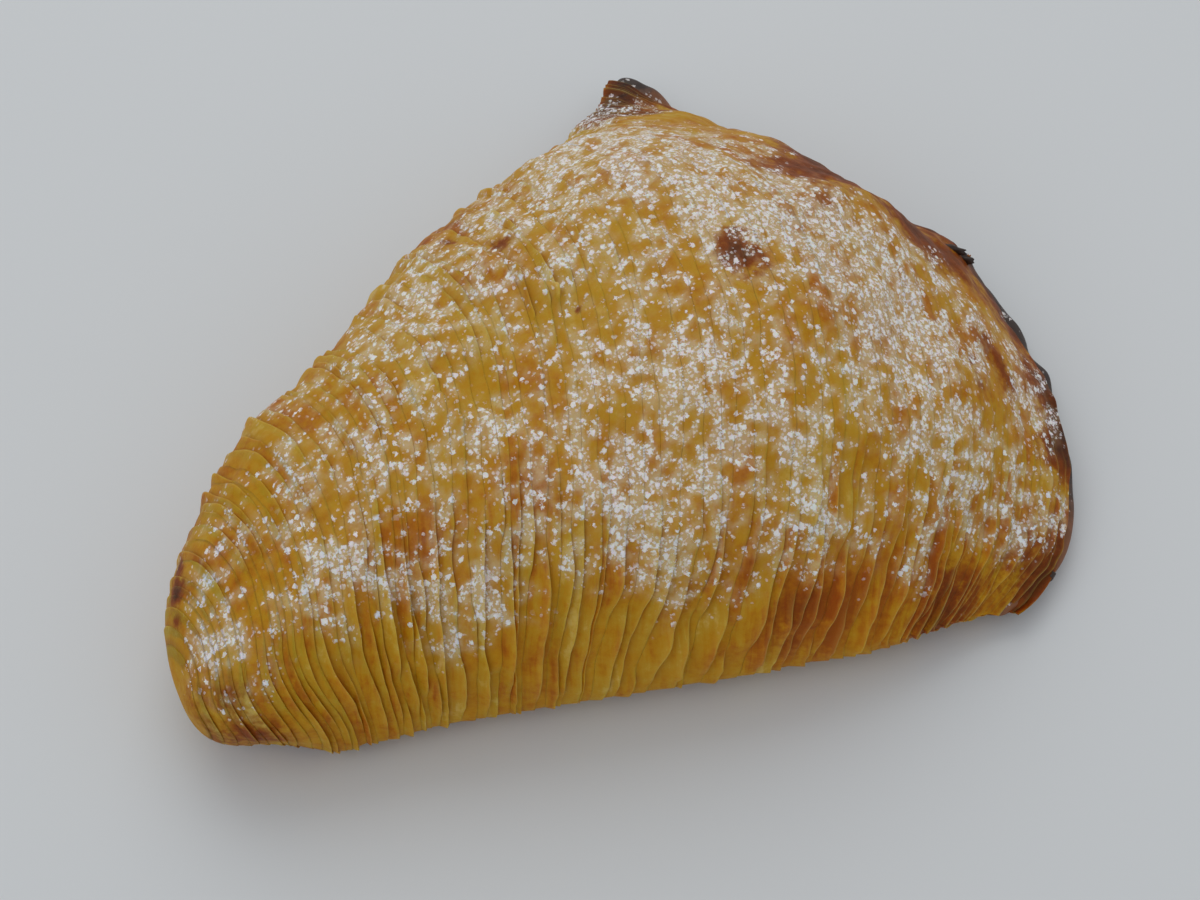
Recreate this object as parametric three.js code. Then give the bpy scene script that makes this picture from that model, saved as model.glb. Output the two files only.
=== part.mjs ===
// A sfogliatella riccia: a shell-shaped pastry of thin leaves, baked as one piece.
// Millimetres, +Z up. The blunt tip points to -X, the pinched mouth to +X, and the
// flat underside stands on z = 0. The origin is under the middle of the pastry.
import * as THREE from "three";
import { ParametricGeometry } from "three/addons/geometries/ParametricGeometry.js";
import { mergeVertices } from "three/addons/utils/BufferGeometryUtils.js";

// Driving dimensions of the whole pastry.
const LENGTH = 120; // tip to the middle of the mouth
const WIDTH = 100; // corner to corner of the mouth
const HEIGHT = 37; // flat underside to the crown

// Leaves: rings round the body, each one lying over the next one towards the mouth.
const LEAVES = 30;
const LEAF_STEP = 0.8; // how far a free edge stands proud of the leaf below it
const EDGE_SHARE = 0.12; // share of a leaf's band that its free edge takes
const RING_SIDES = 52; // facets round one ring
const CAP_ROWS = 7; // rows that close the tip
const MERGE_WITHIN = 1e-3; // points closer than this are one point

// The wedge in plan: two nearly straight flanks that open from the tip to the mouth.
const TIP_X = -52; // where the flanks start, behind the rounded tip
const FLANK_RUN = 83; // length of the front flank along X
const FRONT_Y = -14.6; // front flank at TIP_X
const FRONT_SLOPE = -0.452;
const BACK_Y = 12.7; // back flank at TIP_X
const BACK_SLOPE = 0.4;
const FRONT_TUCK = 3.2; // the front flank turns in by this much at the mouth
const TUCK_START = 0.55; // share of the body where it starts to turn in
const BACK_WAIST = 2; // the back flank draws in by this much behind the mouth corner
const WAIST_PLACE = 0.72;
const WAIST_SPREAD = 0.16;
const BACK_CORNER = 2.4; // and comes out again at the corner itself
const CORNER_START = 0.86;
const LEAN_START = 3; // how far a ring's back end is ahead of its front end
const LEAN_MIDDLE = 17;
const LEAN_MOUTH = 4.5;
const LEAN_SKEW = 0.9; // below 1, the lean is greatest nearer the tip
const LEAN_PEAK = 1.3; // above 1, the lean is greatest over a shorter stretch

// Rings bow towards the mouth, as the ribs of a scallop shell do.
const BOW_INNER = 0.27; // bow as a share of the ring's half-width
const BOW_MOUTH = 0.49;
const BOW_START = 0.5; // share of the body where the bow starts to grow to the mouth's
const MOUTH_PEAK = -0.08; // place of the mouth's furthest point across the ring
const MOUTH_START = 0.6; // share of the body where rings start to take the mouth's outline
const MOUTH_STRAIGHT = 1.25; // 1 is a straight back half of the mouth, 2 a parabola
const SEAM_REACH = 1.2; // how far the pinched seam stands beyond the last ring

// The tip is a blunt rounded nose.
const NOSE_SHARE = 0.1; // share of the body that the nose takes
const NOSE_REACH = 9; // how far the nose reaches beyond TIP_X
const NOSE_SWAY = 4; // how far the nose bends to the front
const NOSE_ROUND = 2.5; // 2 is a quarter ellipse, more is blunter
const NOSE_EASE = 1.3; // how slowly the nose's rings move on towards its point

// Heights at stations from the tip (0) to the mouth (1).
const CROWN = [
  [0, 23],
  [0.1, 26],
  [0.3, 32.5],
  [0.5, 36],
  [0.6, 36],
  [0.7, 33.8],
  [0.8, 28],
  [0.9, 18.5],
  [1, 5],
];
const BELT = [[0, 9.5], [0.1, 8.5], [0.6, 8], [0.85, 6], [1, 2.8]]; // height of the widest line

// Roundness of the section: 2 is an ellipse, more is squarer, less is more pointed.
const ROUND_FRONT = 2.3;
const ROUND_FRONT_MOUTH = 1.75;
const ROUND_BACK = 2.25;
const ROUND_BACK_MOUTH = 1.3;
const ROUND_UNDER = 3.6;
const FRONT_SHARPENS = 0.6; // shares of the body where each side starts to turn pointed
const BACK_SHARPENS = 0.3;
const BACK_SHARP = 0.85; // and where the back side is at its most pointed
const UNDER_PRESS = 1.2; // the underside is pressed past z = 0 by this factor, then flattened

// A baked golden crust, dusted with sugar.
const CRUST_COLOUR = 0xc08a35;
const CRUST_ROUGHNESS = 0.55;

/** A smooth step from 0 at `low` to 1 at `high`. */
function rise(low, high, x) {
  return THREE.MathUtils.smoothstep(x, low, high);
}

/** A smooth curve through [place, value] stations. */
function along(stations, x) {
  const last = stations.length - 1;
  const slope = (k) => {
    const before = stations[Math.max(k - 1, 0)];
    const after = stations[Math.min(k + 1, last)];
    return (after[1] - before[1]) / (after[0] - before[0]);
  };
  let k = 0;
  while (k < last - 1 && x >= stations[k + 1][0]) k += 1;
  const [x0, y0] = stations[k];
  const [x1, y1] = stations[k + 1];
  const span = x1 - x0;
  const u = (x - x0) / span;
  const hold = (1 + 2 * u) * (1 - u) ** 2;
  const leave = u * (1 - u) ** 2 * span * slope(k);
  const arrive = u * u * (u - 1) * span * slope(k + 1);
  return hold * y0 + (1 - hold) * y1 + leave + arrive;
}

/** A signed power, which makes a superellipse from a sine or cosine. */
function bent(value, power) {
  return Math.sign(value) * Math.abs(value) ** power;
}

/** How far a ring bows towards the mouth at `across` (-1 front flank, 1 back flank). */
function bow(across, station) {
  const arc = 1 - across * across;
  const frontPart = (MOUTH_PEAK - across) / (1 + MOUTH_PEAK);
  const backPart = (across - MOUTH_PEAK) / (1 - MOUTH_PEAK);
  const backHalf = 1 - backPart ** MOUTH_STRAIGHT;
  const frontHalf = Math.sqrt(Math.max(0, 1 - frontPart ** 2));
  const mouth = across > MOUTH_PEAK ? backHalf : frontHalf;
  return THREE.MathUtils.lerp(arc, mouth, rise(MOUTH_START, 1, station));
}

/**
 * A point of the ring at `station` (0 tip, 1 mouth) and `angle` (0 front flank, then over
 * the crown). `proud` moves it out of the body, and `sealed` shuts the ring into a seam.
 */
function ringPoint(station, angle, proud, sealed) {
  const frontX = TIP_X + FLANK_RUN * station;
  const leanWave = Math.sin(Math.PI * station ** LEAN_SKEW) ** LEAN_PEAK;
  const lean = LEAN_START + LEAN_MIDDLE * leanWave + LEAN_MOUTH * station;
  const backX = frontX + lean;
  const frontY = FRONT_Y + FRONT_SLOPE * (frontX - TIP_X) + FRONT_TUCK * rise(TUCK_START, 1, station);
  const waist = BACK_WAIST * Math.exp(-(((station - WAIST_PLACE) / WAIST_SPREAD) ** 2));
  const backY = BACK_Y + BACK_SLOPE * (backX - TIP_X) - waist + BACK_CORNER * rise(CORNER_START, 1, station);

  // The nose: rings shrink on a blunt quarter round to one point.
  const nose = Math.min(station / NOSE_SHARE, 1);
  const shrink = (1 - (1 - nose) ** NOSE_ROUND) ** (1 / NOSE_ROUND);
  const middleX = (frontX + backX) / 2 - NOSE_REACH * (1 - nose) ** NOSE_EASE;
  const middleY = (frontY + backY) / 2 - NOSE_SWAY * (1 - nose);
  const halfLean = ((backX - frontX) / 2) * shrink;
  const halfWidth = ((backY - frontY) / 2 + proud) * shrink;

  const over = Math.sin(angle) >= 0;
  const roundTop =
    Math.cos(angle) > 0
      ? THREE.MathUtils.lerp(ROUND_FRONT, ROUND_FRONT_MOUTH, rise(FRONT_SHARPENS, 1, station))
      : THREE.MathUtils.lerp(ROUND_BACK, ROUND_BACK_MOUTH, rise(BACK_SHARPENS, BACK_SHARP, station));
  const round = 2 / (over || sealed ? roundTop : ROUND_UNDER);
  const across = -bent(Math.cos(angle), round);
  const belt = along(BELT, station);
  const crown = (along(CROWN, station) - belt + proud) * shrink;
  const depth = (belt * UNDER_PRESS + proud) * shrink;
  const climb = bent(Math.sin(angle), round) * (over ? crown : depth);
  const halfBow = halfWidth * THREE.MathUtils.lerp(BOW_INNER, BOW_MOUTH, rise(BOW_START, 1, station));
  return new THREE.Vector3(
    middleX + halfLean * across + halfBow * bow(across, station) + (sealed ? SEAM_REACH : 0),
    middleY + halfWidth * across,
    sealed ? belt : Math.max(0, belt + climb),
  );
}

/** Rows of the body from tip to mouth: the nose, two rows a leaf, and the seam. */
function bodyRows() {
  const rows = [];
  for (let i = 0; i < CAP_ROWS; i += 1) {
    const turn = (Math.PI / 2) * (i / CAP_ROWS);
    rows.push({ station: NOSE_SHARE * (1 - Math.cos(turn)), proud: 0, sealed: false });
  }
  const band = (1 - NOSE_SHARE) / LEAVES;
  for (let leaf = 0; leaf < LEAVES; leaf += 1) {
    const start = NOSE_SHARE + leaf * band;
    rows.push({ station: start, proud: -LEAF_STEP / 2, sealed: false });
    rows.push({ station: start + band * (1 - EDGE_SHARE), proud: LEAF_STEP / 2, sealed: false });
  }
  rows.push({ station: 1, proud: -LEAF_STEP / 2, sealed: false });
  rows.push({ station: 1, proud: -LEAF_STEP / 2, sealed: true });
  return rows;
}

/** Merges a surface's shared points and drops the faces that shrank to a line. */
function closedSurface(surface) {
  surface.deleteAttribute("normal");
  surface.deleteAttribute("uv");
  const merged = mergeVertices(surface, MERGE_WITHIN);
  const corners = merged.index.array;
  const kept = [];
  for (let i = 0; i < corners.length; i += 3) {
    const [a, b, c] = corners.slice(i, i + 3);
    if (a !== b && b !== c && c !== a) kept.push(a, b, c);
  }
  merged.setIndex(kept);
  return merged;
}

/** Stretches a geometry to the driving dimensions, over the origin and on z = 0. */
function fitToSize(geometry) {
  geometry.computeBoundingBox();
  const size = geometry.boundingBox.getSize(new THREE.Vector3());
  const middle = geometry.boundingBox.getCenter(new THREE.Vector3());
  geometry.translate(-middle.x, -middle.y, -geometry.boundingBox.min.z);
  geometry.scale(LENGTH / size.x, WIDTH / size.y, HEIGHT / size.z);
  geometry.computeVertexNormals();
  return geometry;
}

/** The whole pastry as one closed surface. */
function pastry() {
  const rows = bodyRows();
  const place = (round, forward, target) => {
    const row = rows[Math.round(forward * (rows.length - 1))];
    const side = Math.round((1 - round) * RING_SIDES) % RING_SIDES;
    target.copy(ringPoint(row.station, (2 * Math.PI * side) / RING_SIDES, row.proud, row.sealed));
  };
  const surface = new ParametricGeometry(place, RING_SIDES, rows.length - 1);
  return fitToSize(closedSurface(surface));
}

const sfogliatella = new THREE.Mesh(
  pastry(),
  new THREE.MeshStandardMaterial({ color: CRUST_COLOUR, roughness: CRUST_ROUGHNESS, metalness: 0 }),
);
sfogliatella.name = "sfogliatella";

const group = new THREE.Group();
group.add(sfogliatella);

export default group;
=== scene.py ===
"""A sfogliatella riccia: thin baked leaves in rings round a shell-shaped pastry, dusted with sugar.

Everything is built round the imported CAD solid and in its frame: the blunt tip points to -X, the
pinched mouth to +X, and the flat underside stands on z = 0. Shapes are worked out in millimetres
and handed to Blender in metres.
"""

import logging
import math
from dataclasses import dataclass, field
from enum import Enum
from functools import cached_property

import bmesh
import bpy
import numpy as np
from mathutils import Euler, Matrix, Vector


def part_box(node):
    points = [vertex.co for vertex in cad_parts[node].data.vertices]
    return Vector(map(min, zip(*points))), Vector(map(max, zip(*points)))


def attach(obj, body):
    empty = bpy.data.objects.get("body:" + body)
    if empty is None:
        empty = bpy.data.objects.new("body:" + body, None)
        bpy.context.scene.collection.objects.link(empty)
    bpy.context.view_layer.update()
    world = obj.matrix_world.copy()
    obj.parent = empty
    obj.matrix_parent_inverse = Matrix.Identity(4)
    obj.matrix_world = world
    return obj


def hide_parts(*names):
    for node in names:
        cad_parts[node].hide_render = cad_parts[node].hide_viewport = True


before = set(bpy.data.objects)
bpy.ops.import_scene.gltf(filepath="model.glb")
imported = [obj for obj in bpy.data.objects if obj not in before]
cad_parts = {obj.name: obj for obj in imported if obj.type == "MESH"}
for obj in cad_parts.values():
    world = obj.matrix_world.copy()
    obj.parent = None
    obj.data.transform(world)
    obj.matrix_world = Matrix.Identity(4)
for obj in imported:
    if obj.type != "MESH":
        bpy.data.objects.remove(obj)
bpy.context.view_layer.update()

MM = 0.001
NODE = "sfogliatella"
BODY = "root"
LOG = logging.getLogger("sfogliatella")

Array = np.ndarray
Colour = tuple[float, float, float]
Place = tuple[float, float, float]
Span = tuple[float, float]
Curve = tuple[Span, ...]


# ---------------------------------------------------------------- shared sums


def rise(low: float, high: float, x: Array | float) -> Array:
    """A smooth step from 0 at `low` to 1 at `high`."""
    t = np.clip((np.asarray(x, float) - low) / (high - low), 0, 1)
    return t * t * (3 - 2 * t)


def lerp(a: Array | float, b: Array | float, t: Array | float) -> Array:
    """A value between `a` (t = 0) and `b` (t = 1)."""
    return a + (b - a) * t


def fade(ends: Span, over: Span, x: Array | float) -> Array:
    """A value that goes smoothly from the first end to the second as x crosses a stretch."""
    return lerp(*ends, rise(*over, x))


def along(stations: Curve, x: Array) -> Array:
    """A smooth curve through (place, value) stations.

    Args:
        stations: places in rising order, each with its value.
        x: places to read.

    Returns:
        The curve's value at each place.
    """
    places, values = (np.array(column, float) for column in zip(*stations))
    last = len(places) - 1
    before, after = np.clip(np.arange(last + 1) - 1, 0, last), np.clip(np.arange(last + 1) + 1, 0, last)
    slopes = (values[after] - values[before]) / (places[after] - places[before])
    k = np.clip(np.searchsorted(places, x, side="right") - 1, 0, last - 1)
    span = places[k + 1] - places[k]
    u = (x - places[k]) / span
    hold = (1 + 2 * u) * (1 - u) ** 2
    leave = u * (1 - u) ** 2 * span * slopes[k]
    arrive = u * u * (u - 1) * span * slopes[k + 1]
    return hold * values[k] + (1 - hold) * values[k + 1] + leave + arrive


def bent(value: Array, power: Array | float) -> Array:
    """A signed power, which makes a superellipse from a sine or cosine."""
    return np.sign(value) * np.abs(value) ** power


@dataclass(frozen=True)
class Drift:
    """A smooth random field through space, made of a few waves.

    Attributes:
        seed: picks the waves.
        reach: usual distance from a high to the next low, in millimetres.
        waves: how many waves are added.
    """

    seed: int
    reach: float
    waves: int = 12

    def at(self, points: Array, layer: Array | float = 0.0) -> Array:
        """The field's height at each point.

        Args:
            points: places, in millimetres, with the coordinates last.
            layer: a leaf's number, which gives each leaf waves of its own.

        Returns:
            Heights with a spread of about 1.
        """
        rng = np.random.default_rng(self.seed)
        directions = rng.normal(size=(self.waves, 3))
        directions /= np.linalg.norm(directions, axis=1, keepdims=True)
        pace = math.pi / self.reach * rng.uniform(0.6, 1.6, self.waves)
        start = rng.uniform(0, 2 * math.pi, self.waves)
        turn = rng.uniform(2, 5, self.waves)
        total = np.zeros(np.broadcast_shapes(points.shape[:-1], np.shape(layer)))
        for k in range(self.waves):
            total = total + np.sin(points @ (directions[k] * pace[k]) + start[k] + layer * turn[k])
        return total * math.sqrt(2 / self.waves)


@dataclass(frozen=True)
class Spot:
    """A soft round patch on the pastry: its middle, its radius in millimetres and its strength."""

    x: float
    y: float
    z: float
    radius: float
    strength: float = 1.0

    def at(self, points: Array) -> Array:
        """How strongly the patch covers each point, from 0 to its strength."""
        gap = np.linalg.norm(points - np.array((self.x, self.y, self.z)), axis=-1)
        return self.strength * np.exp(-((gap / self.radius) ** 2))


def patches(spots: tuple[Spot, ...], points: Array) -> Array:
    """The sum of several patches at each point."""
    return sum(spot.at(points) for spot in spots)


@dataclass(frozen=True)
class Nudge:
    """A soft local push: a patch and how far its middle moves, in millimetres."""

    spot: Spot
    push: Place

    def at(self, points: Array) -> Array:
        """How far each point moves."""
        return self.spot.at(points)[..., None] * np.array(self.push)


# ---------------------------------------------------------------- the pastry's shape


@dataclass(frozen=True)
class Body:
    """The pastry's overall shape: closed rings from the tip (station 0) to the mouth (station 1).

    An angle of 0 is on the front flank, a quarter turn is the crown and a half turn is the back
    flank. The sizes are the CAD solid's, in millimetres.
    """

    tip_x: float = -52.0
    flank_run: float = 83.0
    front_y: float = -14.6
    front_slope: float = -0.452
    back_y: float = 12.7
    back_slope: float = 0.4
    front_tuck: float = 3.2
    tuck_start: float = 0.55
    back_waist: float = 2.0
    waist_place: float = 0.72
    waist_spread: float = 0.16
    back_corner: float = 2.4
    corner_start: float = 0.86
    lean_start: float = 3.0
    lean_middle: float = 17.0
    lean_mouth: float = 4.5
    lean_skew: float = 0.9
    lean_peak: float = 1.3
    bow_inner: float = 0.27
    bow_mouth: float = 0.49
    bow_start: float = 0.5
    mouth_peak: float = -0.08
    mouth_start: float = 0.6
    mouth_straight: float = 1.25
    seam_reach: float = 1.2
    nose_share: float = 0.1
    nose_reach: float = 9.0
    nose_sway: float = 4.0
    nose_round: float = 2.5
    nose_ease: float = 1.3
    crown: Curve = (
        (0.0, 23.0), (0.1, 26.0), (0.3, 32.5), (0.5, 36.0), (0.6, 36.0),
        (0.7, 33.8), (0.8, 28.0), (0.9, 18.5), (1.0, 5.0),
    )
    belt: Curve = ((0.0, 9.5), (0.1, 8.5), (0.6, 8.0), (0.85, 6.0), (1.0, 2.8))
    round_front: float = 2.3
    round_front_mouth: float = 1.75
    round_back: float = 2.25
    round_back_mouth: float = 1.3
    round_under: float = 3.6
    front_sharpens: float = 0.6
    back_sharpens: float = 0.3
    back_sharp: float = 0.85
    under_press: float = 1.2
    cad_leaves: int = 30
    cad_step: float = 0.8
    cad_edge_share: float = 0.12
    cad_sides: int = 52
    nudges: tuple[Nudge, ...] = (
        Nudge(Spot(40, 48, 5, 6), (0.3, 0.6, 2.4)),
        Nudge(Spot(28, 41, 5, 5), (-1.0, 1.4, 0.9)),
        Nudge(Spot(38, 31, 9, 5), (0.5, 0.4, 0.7)),
        Nudge(Spot(17, 33, 18, 7), (0.1, -0.8, -0.5)),
        Nudge(Spot(9, 30, 19, 9), (0.2, -1.4, -1.0)),
        Nudge(Spot(3, 24, 28, 8), (0.3, -0.9, -0.9)),
        Nudge(Spot(-37, 13, 20, 7), (-0.5, 0.5, 0.3)),
        Nudge(Spot(-13, 19, 27, 4), (-0.6, 0.6, 0.5)),
        Nudge(Spot(-52, -19, 3, 5.5), (0.4, 1.1, 0.2)),
        Nudge(Spot(50, 4, 9, 7), (-0.6, -0.3, -0.3)),
        Nudge(Spot(12, -43.6, 3, 6), (0.1, -0.9, 0.0)),
        Nudge(Spot(29, -48, 2, 7), (0.0, 1.1, 0.0)),
        Nudge(Spot(35, -50, 3, 5), (-0.4, 0.9, 0.0)),
        Nudge(Spot(54, 14, 4, 12), (-0.9, -0.3, 0.0)),
        Nudge(Spot(-45, -22, 3, 6), (0.0, -1.5, 0.0)),
        Nudge(Spot(-56, -17, 3, 7), (1.0, 1.8, 0.3)),
        Nudge(Spot(-60, 0, 9, 9), (0.9, 0.0, 0.0)),
        Nudge(Spot(-12, 26, 18, 10), (-0.2, 0.7, 0.3)),
    )

    def bow(self, across: Array, station: Array) -> Array:
        """How far a ring bows towards the mouth, as a share of its bow.

        Args:
            across: place across the ring, -1 at the front flank and 1 at the back flank.
            station: the ring's station.

        Returns:
            Shares from 0 at the flanks to 1 at the furthest point.
        """
        front_part = np.clip((self.mouth_peak - across) / (1 + self.mouth_peak), 0, 1)
        back_part = np.clip((across - self.mouth_peak) / (1 - self.mouth_peak), 0, 1)
        front_half = np.sqrt(1 - front_part**2)
        back_half = 1 - back_part**self.mouth_straight
        mouth = np.where(across > self.mouth_peak, back_half, front_half)
        return lerp(1 - across**2, mouth, rise(self.mouth_start, 1, station))

    def rings(self, station: Array, angle: Array, proud: Array, sealed: bool) -> Array:
        """Points of the body before it is stretched to the CAD's box.

        Args:
            station: 0 at the tip to 1 at the mouth.
            angle: place round the ring, in radians.
            proud: how far the point stands out of the body, in millimetres.
            sealed: True shuts the rings into a seam.

        Returns:
            Points in millimetres, with the coordinates last.
        """
        front_x = self.tip_x + self.flank_run * station
        wave = np.clip(np.sin(math.pi * station**self.lean_skew), 0, 1) ** self.lean_peak
        back_x = front_x + self.lean_start + self.lean_middle * wave + self.lean_mouth * station
        front_y = self.front_y + self.front_slope * (front_x - self.tip_x)
        front_y = front_y + self.front_tuck * rise(self.tuck_start, 1, station)
        waist = self.back_waist * np.exp(-(((station - self.waist_place) / self.waist_spread) ** 2))
        corner = self.back_corner * rise(self.corner_start, 1, station)
        back_y = self.back_y + self.back_slope * (back_x - self.tip_x) - waist + corner

        nose = np.clip(station / self.nose_share, 0, 1)
        shrink = (1 - (1 - nose) ** self.nose_round) ** (1 / self.nose_round)
        middle_x = (front_x + back_x) / 2 - self.nose_reach * (1 - nose) ** self.nose_ease
        middle_y = (front_y + back_y) / 2 - self.nose_sway * (1 - nose)
        half_lean = (back_x - front_x) / 2 * shrink
        half_width = ((back_y - front_y) / 2 + proud) * shrink

        sine, cosine = np.sin(angle), np.cos(angle)
        front_round = lerp(self.round_front, self.round_front_mouth, rise(self.front_sharpens, 1, station))
        back_share = rise(self.back_sharpens, self.back_sharp, station)
        back_round = lerp(self.round_back, self.round_back_mouth, back_share)
        round_top = np.where(cosine > 0, front_round, back_round)
        roundness = 2 / np.where((sine >= 0) | sealed, round_top, self.round_under)
        across = -bent(cosine, roundness)
        belt = along(self.belt, station)
        crown = (along(self.crown, station) - belt + proud) * shrink
        depth = (belt * self.under_press + proud) * shrink
        climb = bent(sine, roundness) * np.where(sine >= 0, crown, depth)
        half_bow = half_width * lerp(self.bow_inner, self.bow_mouth, rise(self.bow_start, 1, station))
        x = middle_x + half_lean * across + half_bow * self.bow(across, station)
        x = x + (self.seam_reach if sealed else 0)
        y = middle_y + half_width * across
        z = belt if sealed else np.maximum(0, belt + climb)
        return np.stack(np.broadcast_arrays(x, y, z), -1)

    @cached_property
    def fit(self) -> tuple[Array, Array]:
        """How the body is brought to the CAD node's box, worked out on the CAD's own rings.

        Returns:
            Where the stretched body starts, and its stretch along each axis.
        """
        band = (1 - self.nose_share) / self.cad_leaves
        starts = self.nose_share + band * np.arange(self.cad_leaves)
        stations = np.concatenate([[0], starts, starts + band * (1 - self.cad_edge_share), [1]])
        low, high = -self.cad_step / 2, self.cad_step / 2
        proud = np.concatenate([[0], np.full(len(starts), low), np.full(len(starts), high), [low]])
        angles = 2 * math.pi * np.arange(self.cad_sides) / self.cad_sides
        open_rings = self.rings(stations[:, None], angles[None], proud[:, None], False)
        seam = self.rings(np.ones((1, 1)), angles[None], np.full((1, 1), low), True)
        points = np.concatenate([open_rings.reshape(-1, 3), seam.reshape(-1, 3)])
        lowest, highest = points.min(0), points.max(0)
        box_low, box_high = (np.array(corner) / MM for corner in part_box(NODE))
        stretch = (box_high - box_low) / (highest - lowest)
        return box_low - lowest * stretch, stretch

    def nudged(self, points: Array) -> Array:
        """Points with the baked pastry's own small bulges and curls."""
        return points + sum(nudge.at(points) for nudge in self.nudges)

    def place(self, station: Array, angle: Array, proud: Array | float = 0.0, sealed: bool = False) -> Array:
        """Points of the body in the CAD frame, in millimetres.

        Args:
            station: 0 at the tip to 1 at the mouth.
            angle: place round the ring, in radians.
            proud: how far the point stands out of the body, in millimetres.
            sealed: True shuts the rings into a seam.

        Returns:
            Points in millimetres, with the coordinates last.
        """
        start, stretch = self.fit
        return start + stretch * self.rings(np.asarray(station, float), angle, proud, sealed)


# ---------------------------------------------------------------- meshes


@dataclass
class Sheet:
    """A grid of points with values on each point, which becomes a mesh.

    Attributes:
        points: rows by columns by 3, in millimetres.
        values: a name and a rows by columns array for each thing a finish reads.
    """

    points: Array
    values: dict[str, Array] = field(default_factory=dict)

    def mesh(self, name: str, merge: float = 1e-7, flip: bool = False) -> bpy.types.Object:
        """Lays a grid over the points and closes it where its edges meet.

        Args:
            name: the piece's name.
            merge: points closer than this are one point, in metres.
            flip: True turns the faces round.

        Returns:
            The piece, at the origin.
        """
        rows, columns = self.points.shape[:2]
        shape = bmesh.new()
        bmesh.ops.create_grid(shape, x_segments=columns - 1, y_segments=rows - 1, size=1)
        layers = {key: shape.verts.layers.float.new(key) for key in self.values}
        for vert in shape.verts:
            i = round((vert.co.y + 1) / 2 * (rows - 1))
            j = round((vert.co.x + 1) / 2 * (columns - 1))
            vert.co = self.points[i, j] * MM
            for key, layer in layers.items():
                vert[layer] = float(self.values[key][i, j])
        bmesh.ops.remove_doubles(shape, verts=shape.verts, dist=merge)
        if flip:
            bmesh.ops.reverse_faces(shape, faces=shape.faces)
        return finished(shape, name)


def finished(shape: bmesh.types.BMesh, name: str) -> bpy.types.Object:
    """Turns a bmesh into a smooth-shaded piece at the origin.

    Args:
        shape: the bmesh, which is freed.
        name: the piece's name.

    Returns:
        The piece, linked to the scene.
    """
    for face in shape.faces:
        face.smooth = True
    mesh = bpy.data.meshes.new(name)
    shape.to_mesh(mesh)
    shape.free()
    piece = bpy.data.objects.new(name, mesh)
    bpy.context.scene.collection.objects.link(piece)
    return piece


# ---------------------------------------------------------------- colour and texture nodes


def paint(red: int, green: int, blue: int) -> Colour:
    """Turns a colour given in display values into the linear colour that a shader wants.

    Args:
        red: display value, 0 to 255.
        green: display value, 0 to 255.
        blue: display value, 0 to 255.

    Returns:
        The linear colour.
    """

    def linear(part: int) -> float:
        """One part of the colour, by the display's own curve."""
        share = part / 255
        return share / 12.92 if share <= 0.04045 else ((share + 0.055) / 1.055) ** 2.4

    return linear(red), linear(green), linear(blue)


class Value:
    """A number that varies over a surface: a shader socket with arithmetic."""

    def __init__(self, board: "Board", socket: bpy.types.NodeSocket) -> None:
        """Wraps a socket of the board's tree."""
        self.board = board
        self.socket = socket

    def _sum(self, operation: str, *terms: "Value | float") -> "Value":
        """Adds a Math node over the terms."""
        node = self.board.node("ShaderNodeMath", {"operation": operation}, dict(enumerate(terms)))
        return Value(self.board, node.outputs[0])

    def __add__(self, other: "Value | float") -> "Value":
        """self + other."""
        return self._sum("ADD", self, other)

    __radd__ = __add__

    def __sub__(self, other: "Value | float") -> "Value":
        """self - other."""
        return self._sum("SUBTRACT", self, other)

    def __rsub__(self, other: float) -> "Value":
        """other - self."""
        return self._sum("SUBTRACT", other, self)

    def __mul__(self, other: "Value | float") -> "Value":
        """self * other."""
        return self._sum("MULTIPLY", self, other)

    __rmul__ = __mul__

    def step(self, low: float, high: float) -> "Value":
        """A smooth step over the value.

        Args:
            low: the value that gives 0.
            high: the value that gives 1.

        Returns:
            The step.
        """
        settings = {"interpolation_type": "SMOOTHSTEP"}
        node = self.board.node("ShaderNodeMapRange", settings, {0: self, 1: low, 2: high, 3: 0.0, 4: 1.0})
        return Value(self.board, node.outputs[0])

    def swing(self, amount: float) -> "Value":
        """Noise of 0 to 1 as a swing of `amount` round nothing."""
        return (self - 0.5) * amount

    def clamped(self) -> "Value":
        """Held between 0 and 1."""
        return Value(self.board, self.board.node("ShaderNodeClamp", {}, {0: self}).outputs[0])


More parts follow.
